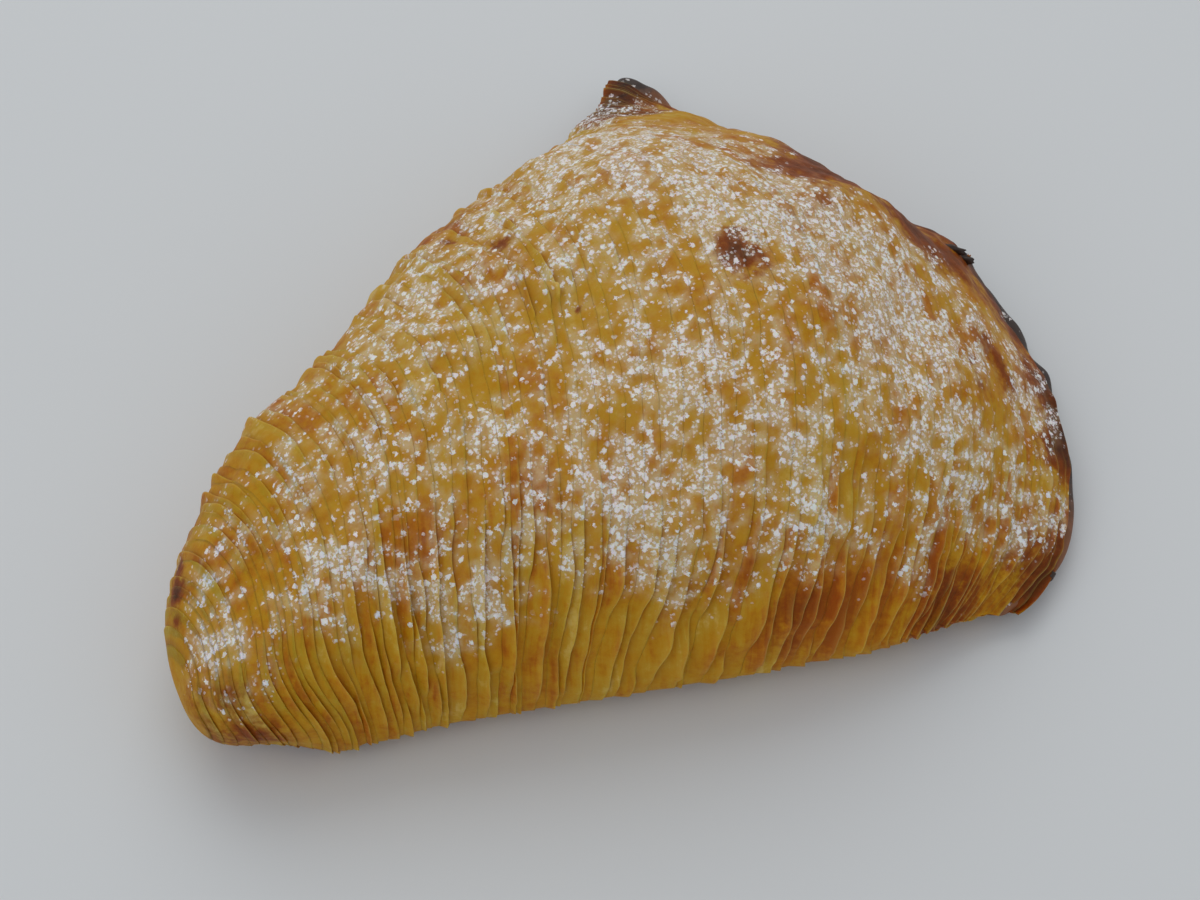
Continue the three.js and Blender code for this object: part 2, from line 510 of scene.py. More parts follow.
class Board:
    """A material being wired: it adds nodes and joins them."""

    def __init__(self, name: str) -> None:
        """Starts a material with an empty tree.

        Args:
            name: the material's name.
        """
        self.material = bpy.data.materials.new(name)
        self.material.use_nodes = True
        self.tree = self.material.node_tree
        self.tree.nodes.clear()

    def node(self, kind: str, settings: dict, inputs: dict) -> bpy.types.Node:
        """Adds one node.

        Args:
            kind: the node's type.
            settings: its properties; `stops` gives a ramp's (place, colour) pairs.
            inputs: socket name or number to a number, a colour, a Value or a socket.

        Returns:
            The node.
        """
        node = self.tree.nodes.new(kind)
        for key, setting in settings.items():
            if key == "stops":
                self._ramp(node, setting)
            else:
                setattr(node, key, setting)
        for key, source in inputs.items():
            source = source.socket if isinstance(source, Value) else source
            if isinstance(source, bpy.types.NodeSocket):
                self.tree.links.new(source, node.inputs[key])
            else:
                node.inputs[key].default_value = source
        return node

    @staticmethod
    def _ramp(node: bpy.types.Node, stops: tuple) -> None:
        """Sets a colour ramp's stops.

        Args:
            node: the ramp.
            stops: pairs of a place and a linear colour.
        """
        elements = node.color_ramp.elements
        while len(elements) < len(stops):
            elements.new(1.0)
        for element, (place, colour) in zip(elements, stops):
            element.position = place
            element.color = (*colour, 1)

    def value(self, kind: str, settings: dict, inputs: dict, output: int | str = 0) -> Value:
        """Adds a node and wraps one of its outputs."""
        return Value(self, self.node(kind, settings, inputs).outputs[output])

    def attribute(self, name: str) -> Value:
        """A number stored on the mesh's points."""
        return self.value("ShaderNodeAttribute", {"attribute_name": name}, {}, "Fac")

    def places(self) -> bpy.types.NodeSocket:
        """The surface's own place, in metres."""
        return self.node("ShaderNodeTexCoord", {}, {}).outputs["Object"]

    def noise(self, where: bpy.types.NodeSocket, size: float, detail: float = 2, rough: float = 0.5) -> Value:
        """Cloudy noise whose lumps are about `size` millimetres."""
        inputs = {"Vector": where, "Scale": 1 / (size * MM), "Detail": detail, "Roughness": rough}
        return self.value("ShaderNodeTexNoise", {}, inputs)

    def blend(self, share: Value | float, first: object, second: object) -> bpy.types.NodeSocket:
        """A colour between two colours.

        Args:
            share: 0 gives the first colour and 1 the second.
            first: a linear colour or a colour socket.
            second: a linear colour or a colour socket.

        Returns:
            The mixed colour's socket.
        """
        colours = [(*c, 1) if isinstance(c, tuple) else c for c in (first, second)]
        settings = {"data_type": "RGBA", "clamp_factor": True}
        node = self.node("ShaderNodeMix", settings, {0: share, 6: colours[0], 7: colours[1]})
        return node.outputs[2]

    def surface(self, inputs: dict) -> bpy.types.Material:
        """Ends the board in one principled surface.

        Args:
            inputs: the surface's sockets, by name.

        Returns:
            The finished material.
        """
        shader = self.node("ShaderNodeBsdfPrincipled", {}, inputs)
        self.node("ShaderNodeOutputMaterial", {}, {"Surface": shader.outputs[0]})
        return self.material


# ---------------------------------------------------------------- finishes


@dataclass(frozen=True)
class SugarDust:
    """Icing sugar that was sifted over a surface and clings in ragged blobs and specks.

    Gaps and sizes are in millimetres. A share multiplies how much sugar fell, a least is the
    smallest blob's reach as a share of the gap, and a white is how solid the sugar looks there.
    """

    white: Colour = paint(248, 242, 240)
    thin: Colour = paint(218, 198, 160)
    ragged_size: float = 0.3
    ragged_cut: float = 1.4
    blob_gap: float = 0.76
    blob_share: float = 1.15
    blob_least: float = 0.40
    blob_white: float = 0.95
    speck_gap: float = 0.44
    speck_share: float = 1.4
    speck_least: float = 0.38
    speck_white: float = 0.55
    heavy_reach: float = 0.22
    heavy_white: float = 0.3
    soft_choice: float = 0.12
    soft_edge: float = 0.16
    veil_size: float = 0.8
    veil_full: float = 0.36
    veil_white: float = 0.6

    def cover(self, board: Board, density: Value) -> Value:
        """Where the dust lies.

        Args:
            board: the material being wired.
            density: how much fell, 0 to 1.

        Returns:
            1 on thick sugar and 0 on bare crust.
        """
        ragged = board.noise(board.places(), self.ragged_size, 3, 0.6)
        blobs = self.blobs(board, self.blob_gap, density * self.blob_share, ragged, self.blob_least)
        specks = self.blobs(board, self.speck_gap, density * self.speck_share, ragged, self.speck_least)
        return (blobs * self.blob_white + specks * self.speck_white).clamped()

    def veil(self, board: Board, density: Value) -> Value:
        """The thin dust between the blobs, which only pales the crust."""
        dust = density * board.noise(board.places(), self.veil_size, 3, 0.6)
        return dust.step(0.0, self.veil_full) * self.veil_white

    def blobs(self, board: Board, gap: float, density: Value, ragged: Value, least: float) -> Value:
        """Scattered ragged blobs.

        Args:
            board: the material being wired.
            gap: usual gap between blobs, in millimetres.
            density: the share of places that hold a blob.
            ragged: noise that breaks up the blobs' outlines.
            least: the smallest blob's reach, as a share of the gap.

        Returns:
            1 inside a blob and 0 outside.
        """
        inputs = {"Vector": board.places(), "Scale": 1 / (gap * MM)}
        cells = board.node("ShaderNodeTexVoronoi", {}, inputs)
        parts = board.node("ShaderNodeSeparateColor", {}, {0: cells.outputs["Color"]})
        chance, weight = Value(board, parts.outputs[0]), Value(board, parts.outputs[1])
        chosen = (chance + density * 0.95 - 1).step(0.0, self.soft_choice)
        reach = weight * self.heavy_reach + least + ragged.swing(self.ragged_cut)
        inside = (reach - Value(board, cells.outputs["Distance"])).step(0.0, self.soft_edge)
        return inside * chosen * (weight * self.heavy_white + (1 - self.heavy_white))


@dataclass(frozen=True)
class Crust:
    """Thin baked pastry: golden, translucent at its edges, browned in patches, with a painted highlight along
    each leaf's free edge and painted shade in the gaps under each leaf.
    """

    straw: Colour = paint(210, 172, 84)
    olive: Colour = paint(194, 148, 34)
    golden: Colour = paint(192, 136, 14)
    amber: Colour = paint(180, 108, 4)
    deep: Colour = paint(158, 80, 2)
    rust: Colour = paint(138, 64, 4)
    brown: Colour = paint(92, 42, 8)
    burnt: Colour = paint(44, 27, 22)
    painted_crease_shade: Colour = paint(138, 66, 2)
    painted_rim_highlight: Colour = paint(226, 190, 96)
    dust: SugarDust = SugarDust()
    cloud_size: float = 6.0
    mottle_size: float = 1.3
    leaf_tint: float = 0.36
    cloud_swing: float = 0.7
    mottle_swing: float = 0.8
    streak_swing: float = 0.9
    streaks_across: float = 1.6
    streaks_around: float = 0.12
    turns_rust: Span = (0.05, 0.4)
    turns_brown: Span = (0.3, 0.7)
    turns_burnt: Span = (0.7, 1.0)
    rim_highlight_share: float = 0.36
    crease_shade_share: float = 0.85
    brown_shows: float = 0.75

    def material(self) -> bpy.types.Material:
        """Wires the finish.

        Returns:
            The material.
        """
        board = Board("baked_leaves")
        where = board.places()
        tone = board.attribute("tone")
        toast = board.attribute("toast")
        # rim: painted highlight along each leaf's free edge, as if light shone through it.
        rim = board.attribute("rim")
        # fold: painted shade in the fold under the leaf before, where that leaf lies over this one.
        fold = board.attribute("fold")
        sugar = board.attribute("sugar")
        ply = board.attribute("ply")

        cloud = board.noise(where, self.cloud_size, 3, 0.6)
        mottle = board.noise(where, self.mottle_size, 4, 0.65)
        streaks = self.streaks(board)
        shade = tone * self.leaf_tint + 0.5 + cloud.swing(self.cloud_swing) + mottle.swing(self.mottle_swing)
        shade = (shade + streaks.swing(self.streak_swing) * ply).clamped()
        tints = (self.straw, self.olive, self.golden, self.amber, self.deep)
        stops = tuple((number / (len(tints) - 1), colour) for number, colour in enumerate(tints))
        base = board.node("ShaderNodeValToRGB", {"stops": stops}, {0: shade}).outputs[0]

        uneven = mottle.swing(0.7) + cloud.swing(0.8)
        browning = (toast + uneven * toast.step(0.02, 0.3)).clamped()
        base = board.blend(browning.step(*self.turns_rust), base, self.rust)
        base = board.blend(browning.step(*self.turns_brown), base, self.brown)
        base = board.blend(browning.step(*self.turns_burnt), base, self.burnt)
        # Painted highlight: a pale colour lightens each leaf's free edge.
        base = board.blend(rim * self.rim_highlight_share, base, self.painted_rim_highlight)
        # Painted shade: a dark colour darkens the fold under each leaf.
        base = board.blend(fold * self.crease_shade_share, base, self.painted_crease_shade)

        covered = self.dust.cover(board, sugar)
        thin = self.dust.veil(board, sugar) * (1 - browning.step(0.1, 0.45) * self.brown_shows)
        colour = board.blend(thin, base, self.dust.thin)
        colour = board.blend(covered, colour, self.dust.white)
        roughness = 0.45 + mottle * 0.2 + covered * 0.3

        height = streaks * 0.6 * ply + mottle * 0.7 + covered * 0.9
        bump = board.node("ShaderNodeBump", {}, {"Strength": 0.45, "Distance": 0.3 * MM, "Height": height})
        return board.surface({
            "Base Color": colour,
            "Roughness": roughness,
            "Normal": bump.outputs[0],
            "Subsurface Weight": 0.35,
            "Subsurface Radius": (1.0, 0.45, 0.12),
            "Subsurface Scale": 2.0 * MM,
            "Specular IOR Level": 0.14,
        })

    def streaks(self, board: Board) -> Value:
        """Fine lines that run along the leaves, as rolled dough shows.

        Args:
            board: the material being wired.

        Returns:
            Noise of 0 to 1 that is drawn out round the rings.
        """
        across, round_ring = board.attribute("across"), board.attribute("around")
        inputs = {0: across * self.streaks_across, 1: round_ring * self.streaks_around, 2: 0.0}
        where = board.node("ShaderNodeCombineXYZ", {}, inputs).outputs[0]
        return board.value("ShaderNodeTexNoise", {}, {"Vector": where, "Scale": 1.0, "Detail": 3})


@dataclass(frozen=True)
class Char:
    """Dough that baked dark: the thin lower lip and the crumbs."""

    dark: Colour = paint(50, 30, 20)
    brown: Colour = paint(128, 76, 40)
    amber: Colour = paint(176, 104, 36)
    dust: SugarDust = SugarDust()

    def material(self) -> bpy.types.Material:
        """Wires the finish.

        Returns:
            The material.
        """
        board = Board("dark_baked_lip")
        where = board.places()
        toast = board.attribute("toast")
        mottle = board.noise(where, 1.5, 4, 0.6)
        level = (toast + mottle.swing(0.5)).clamped()
        base = board.blend(level.step(0.1, 0.5), self.amber, self.brown)
        base = board.blend(level.step(0.5, 0.85), base, self.dark)
        covered = self.dust.cover(board, board.attribute("sugar"))
        bump = board.node("ShaderNodeBump", {}, {"Strength": 0.5, "Distance": 0.3 * MM, "Height": mottle})
        return board.surface({
            "Base Color": board.blend(covered, base, self.dust.white),
            "Roughness": 0.45 + mottle * 0.2 + covered * 0.3,
            "Normal": bump.outputs[0],
            "Coat Weight": 0.1,
        })


@dataclass(frozen=True)
class SugarGrain:
    """Lumps of icing sugar that stand up from the crust."""

    white: Colour = paint(246, 240, 237)
    damp: Colour = paint(222, 208, 188)

    def material(self) -> bpy.types.Material:
        """Wires the finish.

        Returns:
            The material.
        """
        board = Board("icing_sugar")
        where = board.places()
        cloud = board.noise(where, 0.5, 3, 0.6)
        bump = board.node("ShaderNodeBump", {}, {"Strength": 0.4, "Distance": 0.1 * MM, "Height": cloud})
        return board.surface({
            "Base Color": board.blend(cloud.step(0.45, 0.75), self.white, self.damp),
            "Roughness": 0.75 + cloud * 0.2,
            "Normal": bump.outputs[0],
            "Subsurface Weight": 0.3,
            "Subsurface Radius": (1.0, 0.9, 0.8),
            "Subsurface Scale": 0.4 * MM,
        })


@dataclass(frozen=True)
class PlainFloor:
    """A plain pale matt surface under the pastry."""

    pale: Colour = paint(219, 221, 223)

    def material(self) -> bpy.types.Material:
        """Wires the finish.

        Returns:
            The material.
        """
        board = Board("plain_floor")
        cloud = board.noise(board.places(), 60, 1, 0.4)
        colour = board.blend(cloud * 0.06, self.pale, (1.0, 1.0, 1.0))
        return board.surface({"Base Color": colour, "Roughness": 0.6})


# ---------------------------------------------------------------- what baking did where


@dataclass(frozen=True)
class Baking:
    """Where the pastry browned, how its leaves are tinted and where the sugar fell.

    Places are in millimetres in the CAD frame.
    """

    toasted: tuple[Spot, ...] = (
        Spot(41, 49, 7, 4.5, 0.9), Spot(37, 45.5, 7, 3.5, 0.5), Spot(17.8, -5.2, 36.2, 3.0, 0.5),
        Spot(19.5, -2, 36.2, 2.4, 0.25), Spot(14.5, -9.8, 35.8, 4, 0.12), Spot(42, 20, 17, 6, 0.44),
        Spot(42, 10, 23, 5.5, 0.44), Spot(43.5, 2, 24.5, 5, 0.46), Spot(47, -5, 20.5, 4.5, 0.44),
        Spot(51, -9, 15, 4.5, 0.46), Spot(45, -21.9, 16.4, 1.9, 0.35), Spot(44.6, -25.1, 15, 1.9, 0.34),
        Spot(43.9, -28.2, 13.8, 1.7, 0.3), Spot(39.7, -24.5, 19.3, 1.8, 0.28),
        Spot(38.3, -27, 18.8, 1.6, 0.2), Spot(2.8, -37.9, 17.3, 5, 0.12), Spot(0.5, -38.8, 11.8, 4, 0.1),
        Spot(29.7, -44.3, 8, 6, 0.14), Spot(37.5, -46.5, 3, 6, 0.22), Spot(20, -45, 5, 6, 0.22),
        Spot(35, -46, 6, 7, 0.14), Spot(52, -32, 5, 6, 0.35), Spot(55, -16, 9, 5, 0.4),
        Spot(57, -4, 7, 6, 0.75), Spot(51, 2, 13, 6, 0.35), Spot(54, 8, 7, 7, 0.3),
        Spot(36, 8, 28, 5, 0.38), Spot(34, 2.5, 30.5, 4, 0.25), Spot(32, -10, 31, 8, 0.1),
        Spot(50, -26, 9.5, 5, 0.2), Spot(48, -33, 7, 5, 0.15), Spot(22, -45, 8, 5, 0.25),
        Spot(35, 42, 8, 6, 0.42), Spot(30, 40, 10, 7, 0.26), Spot(49, -33.5, 6, 3.5, 0.25),
        Spot(45, -36, 8, 3.5, 0.15), Spot(-1, -1, 34.7, 0.6, 0.5), Spot(-5.6, 21, 27.4, 1.6, 0.3),
        Spot(-1.9, 13.8, 32.2, 1.6, 0.5), Spot(-2.6, 16, 31, 1.2, 0.3), Spot(-55, 3, 16.5, 1.5, 0.9),
        Spot(-53, 6, 16, 1.7, 0.7), Spot(-56, -1, 15, 1.3, 0.6), Spot(-48, 13, 14, 3.5, 0.5),
        Spot(-55, -15, 9, 7, 0.25), Spot(-56, -10, 14, 12, 0.09),
    )
    amber: tuple[Spot, ...] = (
        Spot(-31.9, -13.6, 25.5, 4, 0.9), Spot(-27, -12, 27.5, 4, 0.5), Spot(-15.6, -14.8, 30.3, 3.5, 0.5),
        Spot(3.7, -26.9, 29.4, 3, 0.8), Spot(3.5, -33, 24, 3.5, 0.8), Spot(2.8, -37.9, 17.3, 5, 1.0),
        Spot(0.5, -38.8, 11.8, 5, 1.0), Spot(7, -40, 13, 6, 0.8), Spot(13, -42, 12, 6, 0.8),
        Spot(24, -44, 9, 8, 0.7), Spot(14.5, -9.8, 35.8, 5, 0.35), Spot(36, 6, 28, 12, 0.5),
        Spot(37, -20, 21, 9, 0.4), Spot(47, -25, 12, 8, 0.7), Spot(38, -47, 3, 7, 0.9),
        Spot(32, -10, 31, 9, 0.5), Spot(25, 12, 30, 8, 0.4), Spot(5.9, -3, 35.9, 6, -0.5),
        Spot(9.5, -9.8, 35.9, 5, -0.4), Spot(-0.5, -0.5, 34.8, 5, -0.7), Spot(-14.2, -0.6, 32, 7, -0.5),
        Spot(16.5, -25, 30, 5, -0.7), Spot(9, -31, 26, 5, -0.5), Spot(-12, -33, 14, 8, -0.35),
        Spot(-20, 12, 28, 12, -0.2),
    )
    sugared: tuple[Spot, ...] = (
        Spot(18.8, 19.8, 31.4, 6, 0.45), Spot(18.7, 11.3, 34.8, 6, 0.5), Spot(19.8, 4.6, 36, 5, 0.6),
        Spot(23, -0.5, 35.9, 5, 0.6), Spot(27.9, -4.3, 34.1, 5.5, 0.8), Spot(32, -9, 31.3, 5.5, 0.9),
        Spot(33.4, -14, 29.1, 5.5, 0.9), Spot(32, -20, 27, 5.5, 0.9), Spot(27, -21, 29, 4.5, 0.6),
        Spot(32.5, -25, 23.5, 4, 0.5), Spot(26, 10, 30, 12, 0.2), Spot(2, -20, 31.5, 8, 0.3),
        Spot(-4.7, -18.5, 31.7, 4, 0.25), Spot(1.3, -24.6, 30.4, 3.5, 0.4),
        Spot(-11.5, -20.7, 29.1, 3, 0.3), Spot(2.5, -11.1, 34.9, 4, 0.35), Spot(6.6, -13.9, 34.9, 5, 0.3),
        Spot(-8.3, -27.8, 25.5, 4, 0.65), Spot(-6.8, -31.6, 22.1, 3.5, 0.45),
        Spot(12.1, -26.7, 29.8, 3, 0.4), Spot(27.1, -31.4, 21.9, 4.5, 0.45),
        Spot(25.1, -37.2, 17.4, 3.5, 0.5), Spot(30.7, -41.4, 11.2, 4.5, 0.5),
        Spot(36.9, -39.1, 10.7, 4.5, 0.45), Spot(37.5, -43.3, 6.7, 4, 0.5),
        Spot(7.6, -34.1, 23.9, 3.5, 0.5), Spot(12.4, -37, 20.4, 3, 0.4), Spot(20.5, -40.3, 15.1, 3, 0.4),
        Spot(17.2, -41.3, 13.8, 2.5, 0.25), Spot(42.8, -41.9, 5.3, 4, 0.8),
        Spot(37.2, -34.1, 14.5, 5.5, 0.35), Spot(30.4, -34.1, 18.1, 5, 0.4), Spot(48, -24, 11, 6, 0.35),
        Spot(-36.3, 1.1, 25.8, 3, 0.25), Spot(-39.5, -8.8, 24.8, 4.5, 0.6),
        Spot(-42.7, -11.7, 23.2, 3, 0.35), Spot(-34.6, -14.6, 24, 3.5, 0.35),
        Spot(-28.9, -20.8, 22.3, 3.5, 0.7), Spot(-31.7, -22, 19.1, 3, 0.6), Spot(-54.4, -6.6, 18.4, 4, 0.5),
        Spot(-55.2, -12.4, 17, 4.5, 0.5), Spot(-52.2, -0.8, 19.4, 3, 0.3), Spot(-17.6, 11.7, 28.6, 5, 0.35),
        Spot(-10.2, 14.6, 29.7, 4, 0.3), Spot(6.7, 21.4, 30.2, 6, 0.35), Spot(20.2, 26.1, 26.6, 7, 0.5),
        Spot(31, 42, 7, 6, 0.8), Spot(-31.9, -13.6, 25.5, 3, -0.3), Spot(-14.2, -0.6, 32, 7, -0.12),
        Spot(-0.5, -0.5, 34.8, 4, -0.15), Spot(15, -18, 32, 5, -0.2), Spot(43.5, 6, 22, 6, -0.5),
        Spot(46, -3, 21, 5, -0.4), Spot(44.6, -25, 15, 2.2, -0.35), Spot(4, -38, 15, 5, -0.3),
        Spot(53, 2, 11, 7, -0.4), Spot(38, -21, 20, 5, 0.45), Spot(47, -19, 14, 4, 0.4),
        Spot(48.5, -29, 9, 5, 0.5), Spot(31, 41, 9, 7, 0.5), Spot(27, 35, 15, 6, 0.3),
        Spot(36, 6, 29, 5, -0.35), Spot(30, -8, 32, 8, 0.25), Spot(-12, -17, 30.5, 5, 0.25),
        Spot(46, -30, 11, 4, 0.4), Spot(44.5, -12, 21, 5, 0.5), Spot(44, -34, 10, 4, 0.35),
        Spot(38, -24, 19, 5, 0.25), Spot(10, 13, 34, 7, 0.25), Spot(-2, -9, 34, 5, 0.2),
        Spot(-29, 3, 27, 6, 0.15), Spot(4, -27.5, 28.5, 4, -0.2),
    )
    blotch: Drift = Drift(seed=41, reach=6.0)
    fall: Drift = Drift(seed=43, reach=4.5)
    clumps: Drift = Drift(seed=44, reach=2.8, waves=24)
    flecks: Drift = Drift(seed=45, reach=1.1, waves=30)
    lip_toast: float = 0.36
    lip_start: float = 0.95
    under_toast: float = 0.25
    under_fades: Span = (0.5, 4.0)
    uneven_toast: float = 0.05
    darkest: float = 1.2
    uneven_tint: float = 0.2
    tint_layer: float = 3.0
    usual_sugar: Span = (-0.1, 0.36)
    sugar_heights: Span = (9.0, 31.0)
    uneven_sugar: float = 0.08
    most_sugar: float = 1.4
    clump_weight: float = 0.6
    fleck_weight: float = 0.75
    clump_range: Span = (-1.5, 1.7)
    between_clumps: float = 0.22
    in_clumps: float = 1.4
    clump_power: float = 1.4
    thickest: float = 1.3
    low_bare: Span = (1.0, 8.0)
    steep_bare: Span = (-0.05, 0.45)

    def toast(self, points: Array, station: Array) -> Array:
        """How dark the crust baked.

        Args:
            points: places on the crust, in millimetres.
            station: their stations.

        Returns:
            0 on golden crust to about 1 where it burnt.
        """
        lip = self.lip_toast * rise(self.lip_start, 1.0, station)
        under = self.under_toast * (1 - rise(*self.under_fades, points[..., 2]))
        noise = self.uneven_toast * self.blotch.at(points)
        return np.clip(patches(self.toasted, points) + lip + under + noise, 0, self.darkest)

    def tint(self, points: Array) -> Array:
        """The crust's broad tint, from pale (-1) to amber (1)."""
        return patches(self.amber, points) + self.uneven_tint * self.blotch.at(points, self.tint_layer)

    def sugar(self, points: Array, facing_up: Array) -> Array:
        """How much sugar fell and stayed.

        Args:
            points: places on the crust, in millimetres.
            facing_up: how far the crust faces up there.

        Returns:
            0 on bare crust to about 1 on thick sugar.
        """
        height = points[..., 2]
        zone = fade(self.usual_sugar, self.sugar_heights, height) + patches(self.sugared, points)
        zone = np.clip(zone + self.uneven_sugar * self.fall.at(points), 0, self.most_sugar)
        grain = self.clump_weight * self.clumps.at(points) + self.fleck_weight * self.flecks.at(points)
        clumps = rise(*self.clump_range, grain)
        density = zone * (self.between_clumps + self.in_clumps * clumps**self.clump_power)
        fallen = np.clip(density, 0, self.thickest) * rise(*self.low_bare, height)
        return fallen * rise(*self.steep_bare, facing_up)


# ---------------------------------------------------------------- the leaves


class Course(Enum):
    """The three stretches of leaves, from the tip to the mouth."""

    TIP = "leaves_at_the_tip"
    MIDDLE = "leaves_round_the_crown"
    MOUTH = "leaves_at_the_mouth"


@dataclass(frozen=True)
class Fold:
    """A curled leaf edge that lies over the crown: gentle towards the tip, sharp towards the mouth.

    Attributes:
        path: places along the edge as seen from above, in millimetres.
        height: how far the edge stands up.
        width: how far the gentle side reaches.
        sharp: how far the sharp side reaches.
    """

    path: Curve
    height: float
    width: float
    sharp: float = 0.18

    def at(self, points: Array) -> Array:
        """How far the crust is lifted.

        Args:
            points: places on the crust, in millimetres.

        Returns:
            Lifts in millimetres.
        """
        flat = points[..., :2]
        lift = np.zeros(points.shape[:-1])
        legs = len(self.path) - 1
        for number, (start, end) in enumerate(zip(self.path, self.path[1:])):
            start, run = np.array(start, float), np.array(end, float) - np.array(start, float)
            length = np.linalg.norm(run)
            share = np.clip((flat - start) @ run / length**2, 0, 1)
            away = flat - start - share[..., None] * run
            gap = np.linalg.norm(away, axis=-1)
            gentle = away @ np.array((run[1], -run[0])) / length > 0
            reach = np.where(gentle, self.width, self.sharp)
            whole = (number + share) / legs
            ends = rise(0, 0.5, whole) * rise(1.0, 0.85, whole)
            lift = np.maximum(lift, self.height * ends * np.exp(-((gap / reach) ** 1.5)))
        return lift


@dataclass(frozen=True)
class LeafRow:
    """One row of points across a leaf.

    Attributes:
        place: share of the way from the leaf's start to its free edge.
        height: share of the leaf's step.
        rim: how much of the painted highlight along the leaf's free edge it has.
        fold: how much of the painted shade in the fold under the leaf before it has.
    """

    place: float
    height: float
    rim: float
    fold: float


@dataclass(frozen=True)
class Leaves:
    """Rings of thin leaves: each one lies over the next one towards the mouth.

    Lengths are in millimetres, and places along the pastry are stations of the body. A pair is a
    value's two ends, or the stretch over which it changes.
    """

    body: Body
    baking: Baking
    count: int = 82
    first: float = 0.004
    last: float = 0.985
    seam_back: float = 0.01
    over_columns: int = 330
    under_columns: int = 110
    nose_rows: int = 16
    seed: int = 7
    splits: tuple[int, ...] = (27, 54)

    # one leaf, from its root to its rim
    thickness: float = 0.22
    wall_share: float = 0.85
    tuck: float = 0.006
    tuck_full: float = 0.5
    tuck_room: float = 0.5
    root_depth: float = 0.15
    root_range: Span = (0.1, 0.8)
    face: tuple[LeafRow, ...] = (
        LeafRow(0.03, 0.02, 0.0, 0.6),
        LeafRow(0.3, 0.3, 0.0, 0.2),
        LeafRow(0.62, 0.66, 0.0, 0.0),
        LeafRow(0.88, 0.93, 0.35, 0.0),
        LeafRow(0.97, 1.0, 1.0, 0.0),
    )
    last_rise: float = 0.1
    # last_fold is painted shade on the closing row.
    last_fold: float = 0.45
    full_ply: float = 0.3
    least_ply: float = 0.1
    # full_mark and least_rim scale the painted highlight and the painted shade by how proud each edge stands.
    full_mark: float = 0.45
    least_rim: float = 0.05

    # the course of the free edges
    widths: Span = (0.5, 1.5)
    pace_places: int = 400
    pace_angles: Span = (0.25, 0.9)
    exposed: Curve = (
        (0.0, 1.0), (0.06, 0.95), (0.12, 1.15), (0.22, 1.5), (0.4, 1.75), (0.72, 1.75), (0.84, 1.3),
        (0.9, 1.0), (1.0, 0.9),
    )
    sway: Curve = (
        (0.0, 0.004), (0.03, 0.018), (0.08, 0.03), (0.2, 0.02), (0.3, 0.004), (0.38, -0.012), (0.5, -0.045),
        (0.6, -0.04), (0.75, -0.028), (0.85, -0.022), (0.93, -0.01), (1.0, 0.012),
    )
    sway_fades: Span = (-0.1, 0.8)
    under_pull: float = 0.8
    under_turn: Span = (0.25, -0.45)
    back_pull: float = 0.6
    wave_share: float = 0.15
    ripple_share: float = 0.025
    most_wave: float = 0.4

    # how far the free edges stand proud
    crown_starts: Span = (0.45, 0.35)
    crown_full: Span = (0.97, 0.82)
    crown_spreads: Span = (0.25, 0.5)
    flank_step: float = 0.5
    crown_step: Span = (0.06, 0.012)
    crown_calms: Span = (0.2, 0.45)
    front_swell: Curve = ((0.0, 0.5), (0.2, 0.9), (0.75, 1.0), (0.88, 0.6), (1.0, 0.5))
    back_step: Span = (0.38, 0.16)
    back_calms: Span = (0.42, 0.6)
    back_crown_step: Span = (0.14, 0.012)
    back_crown_calms: Span = (0.4, 0.55)
    under_step: float = 0.22
    usual_lift: float = 0.85
    lift_spread: float = 0.8
    lift_range: Span = (0.03, 2.3)
    ridges: tuple[Spot, ...] = (
        Spot(-2, -2, 35, 6, 3.0), Spot(-36, -12, 25, 8, 2.0), Spot(-20, -18, 28, 6, 1.0),
    )

    # the crust's own relief and tints
    wave: Drift = Drift(seed=11, reach=20.0)
    ripple: Drift = Drift(seed=12, reach=3.0)
    lift: Drift = Drift(seed=13, reach=8.0)
    dents: Drift = Drift(seed=14, reach=13.0)
    pits: Drift = Drift(seed=15, reach=4.0, waves=20)
    crinkle: Drift = Drift(seed=17, reach=1.8, waves=24)
    tint: Drift = Drift(seed=16, reach=12.0)
    dent_depth: float = 0.4
    pit_depth: float = 0.16
    crinkle_depth: float = 0.07
    relief_starts: Span = (-0.2, 0.3)
    nose_smooth: float = 0.06
    folds: tuple[Fold, ...] = (
        Fold(((-6, 24), (-5.4, 20.4), (-4.2, 11), (-2.6, 4.8), (-1.1, -0.8)), 0.9, 2.0),
        Fold(((-18.4, 12.8), (-16.6, 6.6), (-14.7, -1.1)), 0.7, 1.5),
        Fold(((-22.3, 7.5), (-19.7, -0.7), (-19.4, -6.4)), 0.7, 1.5),
    )
    leaf_tint: float = 0.25
    patch_tint: float = 0.3
    flat_tint: float = 0.3
    full_tint: float = 0.4
    tint_layer: float = 50.0
    broad_tint: float = 0.7
    rim_toast: float = 0.05
    fold_sheds: float = 0.8
    across_pace: float = 100.0
    around_pace: float = 30.0

    @cached_property
    def angles(self) -> Array:
        """Angles of the columns, from the middle of the underside, over the crown and back.

        Returns:
            Angles in radians, one for each column.
        """
        over = np.linspace(0, math.pi, self.over_columns + 1)
        turn = np.linspace(math.pi, 2 * math.pi, self.under_columns + 1)[1:-1]
        spread = -np.cos(turn - math.pi)
        under = math.pi + np.arccos(-bent(spread, self.body.round_under / 2))
        half = len(under) // 2
        return np.concatenate([under[half:] - 2 * math.pi, over, under[: half + 1]])

    @property
    def rows_per_leaf(self) -> int:
        """A leaf's root, the rows of its face and the underside of its rim."""
        return len(self.face) + 2

